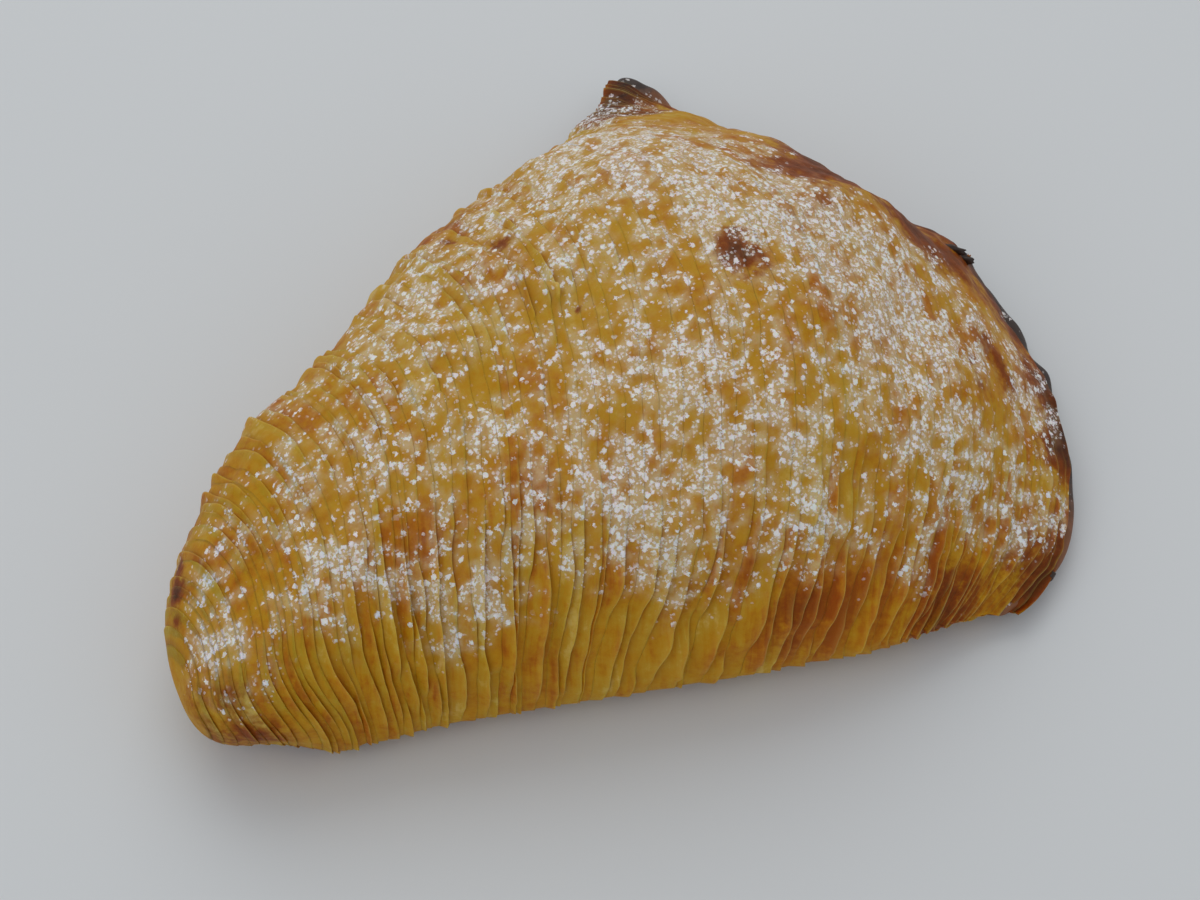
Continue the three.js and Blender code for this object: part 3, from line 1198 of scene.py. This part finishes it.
    @cached_property
    def edges(self) -> Array:
        """The course of each leaf's free edge round the pastry.

        Returns:
            Stations, leaves by columns; row 0 is where the first leaf starts.
        """
        rng = np.random.default_rng(self.seed)
        widths = rng.uniform(*self.widths, self.count)
        places = np.linspace(self.first, self.last, self.pace_places)
        flank = self.body.place(places[:, None], np.array([self.pace_angles]))
        pace = np.linalg.norm(np.gradient(flank, axis=0), axis=-1).mean(1)
        filled = np.cumsum(pace / along(self.exposed, places))
        filled = (filled - filled[0]) / (filled[-1] - filled[0])
        ends = np.interp(np.concatenate([[0], np.cumsum(widths) / widths.sum()]), filled, places)
        gaps = np.diff(ends)
        room = np.minimum(np.append(gaps, gaps[-1]), np.insert(gaps, 0, gaps[0]))
        station = np.repeat(ends[:, None], len(self.angles), 1)
        points = self.body.place(station, self.angles[None])
        number = np.arange(self.count + 1)[:, None]
        own = self.wave_share * self.wave.at(points, number)
        own = own + self.ripple_share * self.ripple.at(points, number)
        own = np.clip(own, -self.most_wave, self.most_wave)
        sine = np.sin(self.angles)
        front = np.cos(self.angles) > 0
        low = 1 - rise(*self.sway_fades, sine)
        sweep = along(self.sway, station) * np.where(front, low, 0)[None]
        pull = self.under_pull * rise(*self.under_turn, sine) * np.where(front, 1, self.back_pull)
        return station + room[:, None] * (own - pull[None]) + sweep

    def steps(self, station: Array, points: Array, number: Array) -> Array:
        """How far each leaf's free edge stands proud, in millimetres.

        Args:
            station: the free edges' stations.
            points: where the edges are.
            number: each leaf's number.

        Returns:
            Heights for each edge and column.
        """
        sine, cosine = np.sin(self.angles)[None], np.cos(self.angles)[None]
        starts = fade(self.crown_starts, self.crown_spreads, station)
        crown = rise(starts, fade(self.crown_full, self.crown_spreads, station), sine)
        front = lerp(self.flank_step, fade(self.crown_step, self.crown_calms, station), crown)
        front = front * along(self.front_swell, station)
        back_crown = fade(self.back_crown_step, self.back_crown_calms, station)
        back = lerp(fade(self.back_step, self.back_calms, station), back_crown, crown)
        height = np.where(sine >= 0, np.where(cosine > 0, front, back), self.under_step)
        vary = np.clip(self.usual_lift + self.lift_spread * self.lift.at(points, number), *self.lift_range)
        return height * vary * (1 + patches(self.ridges, points))

    def nose(self, edge: Array) -> tuple[Array, Array]:
        """Rows that close the tip.

        Args:
            edge: station of the first leaf's start at each column.

        Returns:
            Stations and proud heights, rows by columns.
        """
        turn = np.linspace(0, math.pi / 2, self.nose_rows, endpoint=False)
        share = (1 - np.cos(turn))[:, None]
        return share * edge[None], np.zeros((self.nose_rows, len(edge)))

    def profile(self) -> tuple[Array, Array, dict[str, Array]]:
        """Rows of every leaf: its tucked root, its face, its rounded rim and the rim's underside.

        Returns:
            Stations, proud heights and the marks that a finish reads, rows by columns.
        """
        edge_points = self.body.place(self.edges, self.angles[None])
        number = np.arange(self.count + 1)[:, None]
        steps = self.steps(self.edges, edge_points, number)
        tints = self.tints(edge_points, number, steps)
        stations, proud = (list(rows) for rows in self.nose(self.edges[0]))
        blank = np.zeros(len(self.angles))
        marks = {name: [blank] * self.nose_rows for name in ("leaf_tone", "rim", "fold", "ply")}
        for leaf in range(1, self.count + 1):
            step, above = steps[leaf], steps[leaf - 1]
            for row_station, row_proud, rim, fold in self.rows(leaf, step, above):
                stations.append(row_station)
                proud.append(row_proud)
                marks["leaf_tone"].append(tints[leaf])
                marks["ply"].append(np.clip(step / self.full_ply, self.least_ply, 1))
                # rim paints a highlight along each free edge; fold paints shade under the leaf before, deeper
                # where that leaf stands prouder.
                marks["rim"].append((blank + rim) * np.clip(step / self.full_mark, self.least_rim, 1))
                marks["fold"].append((blank + fold) * np.clip(above / self.full_mark, 0.0, 1))
        stations.append(self.edges[-1])
        proud.append(steps[-1] * self.last_rise)
        marks["leaf_tone"].append(tints[-1])
        marks["rim"].append(blank)
        marks["fold"].append(blank + self.last_fold)
        marks["ply"].append(blank + self.least_ply)
        return np.array(stations), np.array(proud), {name: np.array(rows) for name, rows in marks.items()}

    def tints(self, points: Array, number: Array, steps: Array) -> Array:
        """Each leaf's own tint, which fades where the leaves lie flat.

        Args:
            points: where the free edges are.
            number: each leaf's number.
            steps: how far the edges stand proud.

        Returns:
            Tints, leaves by columns, with pale below 0 and amber above.
        """
        rng = np.random.default_rng(self.seed + 1)
        own = rng.normal(0, self.leaf_tint, self.count + 1)[:, None]
        shown = self.flat_tint + (1 - self.flat_tint) * np.clip(steps / self.full_tint, 0, 1)
        return (own + self.patch_tint * self.tint.at(points, number + self.tint_layer)) * shown

    def rows(self, leaf: int, step: Array, above: Array) -> list[tuple[Array, Array, float, float]]:
        """One leaf's rows, from its root to the underside of its rim.

        Args:
            leaf: the leaf's number.
            step: how far its free edge stands proud.
            above: how far the leaf before it stands proud.

        Returns:
            Station, proud height, rim mark and fold mark of each row.
        """
        start, end = self.edges[leaf - 1], self.edges[leaf]
        before = self.edges[leaf - 2] if leaf > 1 else self.edges[0] - self.first
        tuck = self.tuck * np.clip(above / self.tuck_full, self.root_range[0], 1)
        root = start - np.minimum(tuck, self.tuck_room * (start - before))
        wall = np.minimum(self.thickness, step * self.wall_share)
        face = [(lerp(start, end, row.place), row.height * step, row.rim, row.fold) for row in self.face]
        return [
            # The root row takes the full painted shade, and the rim's underside takes the full painted
            # highlight.
            (root, -self.root_depth * np.clip(above, *self.root_range), 0.0, 1.0),
            *face,
            (end, step - wall, 1.0, 0.0),
        ]

    def relief(self, points: Array, stations: Array) -> Array:
        """Dents, pits and curled edges of the baked crust.

        Args:
            points: places on the smooth body, in millimetres.
            stations: their stations.

        Returns:
            Heights in millimetres.
        """
        over = rise(*self.relief_starts, np.sin(self.angles[None]))
        uneven = self.dent_depth * self.dents.at(points) + self.pit_depth * self.pits.at(points)
        uneven = uneven + self.crinkle_depth * self.crinkle.at(points)
        curled = sum(fold.at(points) for fold in self.folds)
        return over * uneven * rise(0, self.nose_smooth, stations) + over * curled

    @staticmethod
    def facing_up(points: Array) -> Array:
        """How far the surface faces up.

        Args:
            points: a grid of places, rows by columns.

        Returns:
            1 on top to -1 underneath, for each point.
        """
        down_rows = np.gradient(points, axis=0)
        round_ring = np.gradient(points, axis=1)
        normal = np.cross(round_ring, down_rows)
        length = np.linalg.norm(normal, axis=-1) + 1e-9
        return -normal[..., 2] / length

    def build(self) -> list[bpy.types.Object]:
        """Makes the three courses of leaves.

        Returns:
            The pieces, from the tip to the mouth.
        """
        stations, proud, marks = self.profile()
        angles = self.angles[None]
        rest = self.body.place(stations, angles)
        points = self.body.nudged(self.body.place(stations, angles, proud + self.relief(rest, stations)))
        # rim carries the painted highlight and a little real browning of the free edge; fold carries painted
        # shade and keeps sugar off the fold.
        rim, fold = marks["rim"], marks["fold"]
        values = {
            "tone": self.broad_tint * self.baking.tint(rest) + marks["leaf_tone"],
            "toast": self.baking.toast(rest, stations) + rim * self.rim_toast,
            "rim": rim,
            "fold": fold,
            "ply": marks["ply"],
            "sugar": self.baking.sugar(rest, self.facing_up(rest)) * (1 - self.fold_sheds * fold),
            "across": stations * self.across_pace,
            "around": np.broadcast_to(angles * self.around_pace, stations.shape),
        }
        breaks = (self.nose_rows + self.rows_per_leaf * split for split in self.splits)
        ends = [0, *breaks, len(stations)]
        pieces = []
        for course, start, stop in zip(Course, ends, ends[1:]):
            part_values = {key: value[start:stop] for key, value in values.items()}
            pieces.append(self.closed(course, points[start:stop], part_values))
        return pieces

    def closed(self, course: Course, part: Array, values: dict[str, Array]) -> bpy.types.Object:
        """Shuts one course at both ends and round its ring, and makes it a mesh.

        Args:
            course: which course it is.
            part: its points, rows by columns.
            values: what a finish reads on each point.

        Returns:
            The piece.
        """
        if course is Course.MOUTH:
            seam_station = np.full((1, 1), self.last - self.seam_back)
            end = self.body.place(seam_station, self.angles[None], 0.0, True)
        else:
            end = self.heart(part[-1])
        part = np.concatenate([part, end])
        values = {key: np.concatenate([value, value[-1:]]) for key, value in values.items()}
        if course is not Course.TIP:
            part = np.concatenate([self.heart(part[0]), part])
            values = {key: np.concatenate([value[:1], value]) for key, value in values.items()}
        columns = np.append(np.arange(part.shape[1]), 0)
        values = {key: value[:, columns] for key, value in values.items()}
        return Sheet(part[:, columns], values).mesh(course.value)

    @staticmethod
    def heart(row: Array) -> Array:
        """A row that lies wholly at the middle of the given one, which shuts a ring."""
        return np.repeat(row.mean(0, keepdims=True)[None], len(row), 1)


# ---------------------------------------------------------------- the lip


@dataclass(frozen=True)
class LowerLip:
    """The thin under-layer that shows past the sugared leaves along the mouth and baked dark."""

    body: Body
    baking: Baking
    inner: float = 0.9
    half_thickness: float = 1.1
    columns: int = 260
    sides: int = 24
    furthest: float = 58.0
    held_back: float = 0.4
    reach_out: Curve = (
        (0.0, -2.5), (0.7, -1.2), (0.95, -0.3), (1.15, 0.0), (1.3, 0.1), (1.42, 0.5), (1.55, 1.1), (1.7, 0.5),
        (2.0, -0.3), (2.4, -0.2), (2.6, 0.4), (2.85, 0.9), (math.pi, 0.2),
    )
    edge_wave: Drift = Drift(seed=21, reach=4.0)
    rough: Drift = Drift(seed=22, reach=1.4)
    edge_depth: float = 0.3
    outwards: Place = (0.9, 0.3, 0.0)
    end_power: float = 0.25
    rough_share: float = 0.15
    low: float = 0.6
    flatten: float = 0.65
    sway: float = 0.2
    least_height: float = 0.15
    clear: float = 0.05
    usual_toast: float = 0.45
    darkest: float = 1.2
    sugar: float = 0.14
    sugar_turn: Span = (0.2, 0.8)
    dark: tuple[Spot, ...] = (
        Spot(59, -7, 4, 8, 0.9), Spot(56, -22, 4, 8, 0.7), Spot(50, -37, 4, 7, 0.4),
        Spot(44, 20, 4, 9, 0.4), Spot(41, 50, 6, 5, 0.8),
    )

    def build(self) -> bpy.types.Object:
        """Makes the lip.

        Returns:
            The piece.
        """
        angle = np.linspace(0, math.pi, self.columns)[:, None]
        turn = np.linspace(0, 2 * math.pi, self.sides + 1)[None]
        outer = self.body.place(np.ones_like(angle), angle, 0.0, True)[:, 0]
        inner = self.body.place(np.full_like(angle, self.inner), angle, 0.0, True)[:, 0]
        reach = 0.5 + 0.5 * np.cos(turn)
        close = np.sin(angle) ** self.end_power
        middle = lerp(0.5, reach, close)
        points = lerp(inner[:, None], outer[:, None], middle[..., None])
        wave = self.edge_depth * self.edge_wave.at(points) + along(self.reach_out, angle)
        points = points + (reach * close * wave)[..., None] * np.array(self.outwards)
        thick = self.half_thickness * (1 + self.rough_share * self.rough.at(points)) * close
        level = self.low + self.flatten * points[..., 2] + thick * np.sin(turn)
        points[..., 2] = level + self.sway * self.edge_wave.at(points, 2.0)
        points[..., 2] = np.maximum(points[..., 2], self.least_height)
        points = self.body.nudged(points)
        points[..., 2] = np.maximum(points[..., 2], self.clear)
        points[..., 0] -= self.held_back * np.maximum(points[..., 0] - self.furthest, 0)
        upward = np.broadcast_to(np.sin(turn), points.shape[:2])
        values = {
            "toast": np.clip(self.usual_toast + patches(self.dark, points), 0, self.darkest),
            "sugar": self.sugar * rise(*self.sugar_turn, upward),
        }
        return Sheet(points, values).mesh("lower_lip", flip=True)


# ---------------------------------------------------------------- scraps


@dataclass(frozen=True)
class Scrap:
    """A small bit of dough stuck to the pastry: its middle, half sizes, turn and tilt, and toast."""

    place: Place
    half: Place
    turn: float
    tilt: float
    toast: float


@dataclass(frozen=True)
class Scraps:
    """Dark crumbs along the mouth and torn flakes of leaf, in millimetres and degrees."""

    bits: tuple[Scrap, ...] = (
        Scrap((53.2, -5.5, 12.8), (1.9, 0.5, 0.7), -50, 0, 0.95),
        Scrap((54.4, -6.6, 11.2), (1.5, 0.6, 0.8), -60, 0, 0.95),
        Scrap((55.3, -6.7, 10.6), (0.35, 0.3, 1.1), -50, 10, 0.0),
        Scrap((37.0, -46.6, 3.0), (0.8, 0.5, 0.6), 15, 10, 0.95),
    )
    rough: Drift = Drift(seed=51, reach=0.5, waves=16)
    lumpy: float = 0.16

    def build(self) -> bpy.types.Object:
        """Makes every scrap.

        Returns:
            One piece that holds them all.
        """
        shape = bmesh.new()
        toast = shape.verts.layers.float.new("toast")
        shape.verts.layers.float.new("sugar")
        for bit in self.bits:
            verts = bmesh.ops.create_icosphere(shape, subdivisions=3, radius=1)["verts"]
            sphere = np.array([vert.co for vert in verts])
            lumpy = sphere * (1 + self.lumpy * self.rough.at(sphere + bit.place))[:, None]
            spin = Euler((math.radians(bit.tilt), 0, math.radians(bit.turn))).to_matrix()
            turned = lumpy * np.array(bit.half) @ np.array(spin).T + np.array(bit.place)
            for vert, point in zip(verts, turned * MM):
                vert.co = point
                vert[toast] = bit.toast
        return finished(shape, "crumbs_and_flakes")


# ---------------------------------------------------------------- the sugar


@dataclass(frozen=True)
class SugarLumps:
    """Small lumps of icing sugar lying where most of it fell."""

    lumps: int = 9000
    small: float = 0.05
    large: float = 0.18
    seed: int = 31
    drifts: Drift = Drift(seed=32, reach=1.6, waves=24)
    drift_range: Span = (-0.2, 1.3)
    gather: float = 3.0
    stray: float = 0.1
    size_spread: Span = (1.2, 3.0)
    lone_size: float = 0.75
    drift_size: float = 0.5
    slope_bare: Span = (0.1, 0.5)
    squash: Span = (0.65, 1.25)
    knobbly: Span = (0.85, 1.15)
    flat: float = 0.75
    proud: float = 0.3

    def build(self, name: str, grounds: list[bpy.types.Object]) -> bpy.types.Object:
        """Scatters the lumps over the given pieces.

        Args:
            name: the piece's name.
            grounds: pieces that carry a "sugar" value on their points.

        Returns:
            One piece that holds every lump.
        """
        rng = np.random.default_rng(self.seed)
        spots, normals, density = (np.concatenate(rows) for rows in zip(*map(self.ground, grounds)))
        clump = rise(*self.drift_range, self.drifts.at(spots / MM))
        weight = density**self.gather * (self.stray + clump)
        chosen = rng.choice(len(spots), self.lumps, p=weight / weight.sum())
        size = MM * self.small * (self.large / self.small) ** rng.beta(*self.size_spread, self.lumps)
        size = size * (self.lone_size + self.drift_size * clump[chosen])
        shape, ball = self.balls(self.lumps)
        turned, size = self.lumpy(ball, rng), size[:, None, None]
        places = spots[chosen][:, None] + turned * size + normals[chosen][:, None] * size * self.proud
        for vert, place in zip(shape.verts, places.reshape(-1, 3)):
            vert.co = place
        return finished(shape, name)

    def ground(self, piece: bpy.types.Object) -> tuple[Array, Array, Array]:
        """What lies under the sugar.

        Args:
            piece: a piece that carries a "sugar" value on its points.

        Returns:
            Each face's middle and normal, and how likely it is to hold a lump.
        """
        mesh = piece.data
        count = len(mesh.polygons)
        centre, normal, area = np.empty(count * 3), np.empty(count * 3), np.empty(count)
        mesh.polygons.foreach_get("center", centre)
        mesh.polygons.foreach_get("normal", normal)
        mesh.polygons.foreach_get("area", area)
        sugar = np.empty(len(mesh.vertices))
        mesh.attributes["sugar"].data.foreach_get("value", sugar)
        first = np.empty(count, int)
        mesh.polygons.foreach_get("loop_start", first)
        corners = np.empty(len(mesh.loops), int)
        mesh.loops.foreach_get("vertex_index", corners)
        normal = normal.reshape(-1, 3)
        seen = rise(*self.slope_bare, normal[:, 2])
        return centre.reshape(-1, 3), normal, sugar[corners[first]] * np.maximum(area, 0) ** 0.5 * seen

    @staticmethod
    def balls(count: int) -> tuple[bmesh.types.BMesh, Array]:
        """Copies one small ball over and over.

        Args:
            count: how many balls to make.

        Returns:
            The balls, one after another, and the corners of one ball.
        """
        shape = bmesh.new()
        bmesh.ops.create_icosphere(shape, subdivisions=1, radius=1)
        ball = np.array([vert.co for vert in shape.verts])
        sides = len(shape.faces)
        made = 1
        while made < count:
            more = min(made, count - made)
            corners, faces = list(shape.verts)[: more * len(ball)], list(shape.faces)[: more * sides]
            bmesh.ops.duplicate(shape, geom=corners + faces)
            made += more
        return shape, ball

    def lumpy(self, ball: Array, rng: np.random.Generator) -> Array:
        """Squashes, knobbles and turns a ball differently for every lump.

        Args:
            ball: the corners of one ball.
            rng: where each lump's own turn and squash come from.

        Returns:
            Lumps by corners by 3, about 1 in radius.
        """
        shapes = ball[None] * rng.uniform(*self.squash, (self.lumps, 1, 3))
        shapes = shapes * rng.uniform(*self.knobbly, (self.lumps, len(ball), 1))
        spin = rng.uniform(0, 2 * math.pi, self.lumps)
        cosine, sine = np.cos(spin)[:, None], np.sin(spin)[:, None]
        x, y, z = shapes[..., 0], shapes[..., 1], shapes[..., 2]
        return np.stack([x * cosine - y * sine, x * sine + y * cosine, z * self.flat], -1)


# ---------------------------------------------------------------- the studio


@dataclass(frozen=True)
class Studio:
    """A pale floor, soft light and the camera."""

    azimuth: float = -34.0
    elevation: float = 55.4
    distance: float = 0.285
    width: float = 0.1460
    aim: Place = (-0.00105, -0.0053, 0.01115)
    sensor: float = 36.0
    floor_half: float = 1.5
    floor_gap: float = 0.00005
    nearest: float = 0.01
    farthest: float = 20.0
    sky: Colour = (0.93, 0.97, 1.0)
    sky_strength: float = 0.54
    window: Place = (0.35, 0.75, 1.0)
    window_light: Colour = (1.0, 0.98, 0.95)
    window_side: float = 1.2
    window_power: float = 4.1
    fill: Place = (-0.8, -0.3, 0.9)
    fill_light: Colour = (0.95, 0.98, 1.0)
    fill_side: float = 0.9
    fill_power: float = 1.2

    def camera(self) -> bpy.types.Object:
        """Stands the camera above the front of the pastry, tip to the lower left.

        Returns:
            The camera.
        """
        turn, tilt = math.radians(self.azimuth), math.radians(self.elevation)
        away = Vector((math.sin(turn) * math.cos(tilt), -math.cos(turn) * math.cos(tilt), math.sin(tilt)))
        lens = bpy.data.cameras.new("camera")
        lens.lens = self.sensor * self.distance / self.width
        lens.sensor_width = self.sensor
        lens.clip_start, lens.clip_end = self.nearest, self.farthest
        camera = bpy.data.objects.new("camera", lens)
        camera.location = Vector(self.aim) + away * self.distance
        camera.rotation_euler = away.to_track_quat("Z", "Y").to_euler()
        bpy.context.scene.collection.objects.link(camera)
        bpy.context.scene.camera = camera
        return camera

    def floor(self) -> bpy.types.Object:
        """Lays the floor just under the pastry.

        Returns:
            The floor.
        """
        shape = bmesh.new()
        bmesh.ops.create_grid(shape, x_segments=2, y_segments=2, size=self.floor_half)
        bmesh.ops.translate(shape, verts=shape.verts, vec=(0, 0, -self.floor_gap))
        floor = finished(shape, "floor")
        floor.data.materials.append(PlainFloor().material())
        return floor

    def lamp(self, name: str, place: Vector, size: float, power: float, colour: Colour) -> None:
        """Hangs a soft square lamp that points at the pastry.

        Args:
            name: the lamp's name.
            place: where it hangs, in metres.
            size: its side, in metres.
            power: its power, in watts.
            colour: its colour.
        """
        light = bpy.data.lights.new(name, "AREA")
        light.size = size
        light.energy = power
        light.color = colour
        lamp = bpy.data.objects.new(name, light)
        lamp.location = place
        lamp.rotation_euler = place.to_track_quat("Z", "Y").to_euler()
        bpy.context.scene.collection.objects.link(lamp)

    def light(self) -> None:
        """Sets a pale sky all round and a large soft lamp behind the pastry."""
        world = bpy.data.worlds.new("soft_sky")
        world.use_nodes = True
        sky = world.node_tree.nodes["Background"]
        sky.inputs["Color"].default_value = (*self.sky, 1)
        sky.inputs["Strength"].default_value = self.sky_strength
        bpy.context.scene.world = world
        self.lamp("window", Vector(self.window), self.window_side, self.window_power, self.window_light)
        self.lamp("fill", Vector(self.fill), self.fill_side, self.fill_power, self.fill_light)
        bpy.context.scene.view_settings.view_transform = "Standard"


# ---------------------------------------------------------------- the whole


def dress(piece: bpy.types.Object, material: bpy.types.Material) -> bpy.types.Object:
    """Gives a piece its material, fixes it to the pastry's one body and reports it.

    Args:
        piece: the finished mesh.
        material: its finish.

    Returns:
        The same piece.
    """
    piece.data.materials.append(material)
    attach(piece, BODY)
    triangles = sum(len(face.vertices) - 2 for face in piece.data.polygons)
    LOG.info("%s: %d triangles", piece.name, triangles)
    return piece


def main() -> None:
    """Builds the pastry and its studio, and reports each piece."""
    logging.basicConfig(level=logging.INFO, format="%(name)s: %(message)s")
    studio = Studio()
    studio.camera()
    body, baking = Body(), Baking()

    crust = Crust().material()
    courses = [dress(piece, crust) for piece in Leaves(body, baking).build()]
    for piece in courses:
        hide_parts(NODE)
    char = Char().material()
    dress(LowerLip(body, baking).build(), char)
    dress(Scraps().build(), char)
    grain = SugarGrain().material()
    dress(SugarLumps(lumps=5000, seed=31).build("sugar_over_the_tip", courses[:1]), grain)
    dress(SugarLumps(seed=32).build("sugar_over_the_crown", courses[1:2]), grain)
    dress(SugarLumps(seed=33).build("sugar_over_the_mouth", courses[2:]), grain)

    studio.floor()
    studio.light()


if __name__ == "__main__":
    main()
